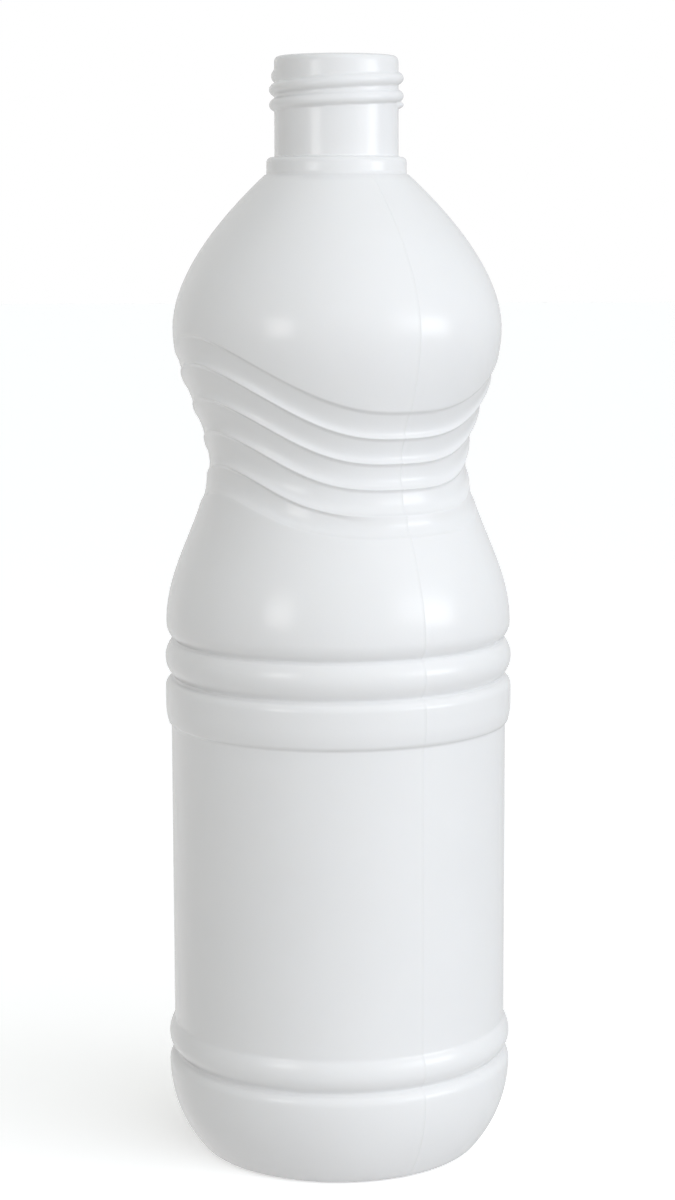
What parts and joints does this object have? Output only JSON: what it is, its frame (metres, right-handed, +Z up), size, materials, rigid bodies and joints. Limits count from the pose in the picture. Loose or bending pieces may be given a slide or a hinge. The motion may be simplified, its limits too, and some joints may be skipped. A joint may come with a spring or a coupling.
{
  "type": "cleaner bottle",
  "caption": "Upright blow-moulded bottle with a recessed label panel, grooved bands, a waist with wavy grip ribs, a rounded shoulder and an open screw-thread neck.",
  "frame": {"origin": "on the bottle's axis, at the level of the standing ring", "axes": "+Z up along the axis to the mouth, -Y towards the side that the picture shows, +X to the right of that side"},
  "size_m": [0.0838, 0.0838, 0.2648],
  "materials": {
    "bottle": "soft satin gloss, white polyethylene"
  },
  "bodies": {
    "root": {"bottle": "bottle"}
  },
  "joints": []
}
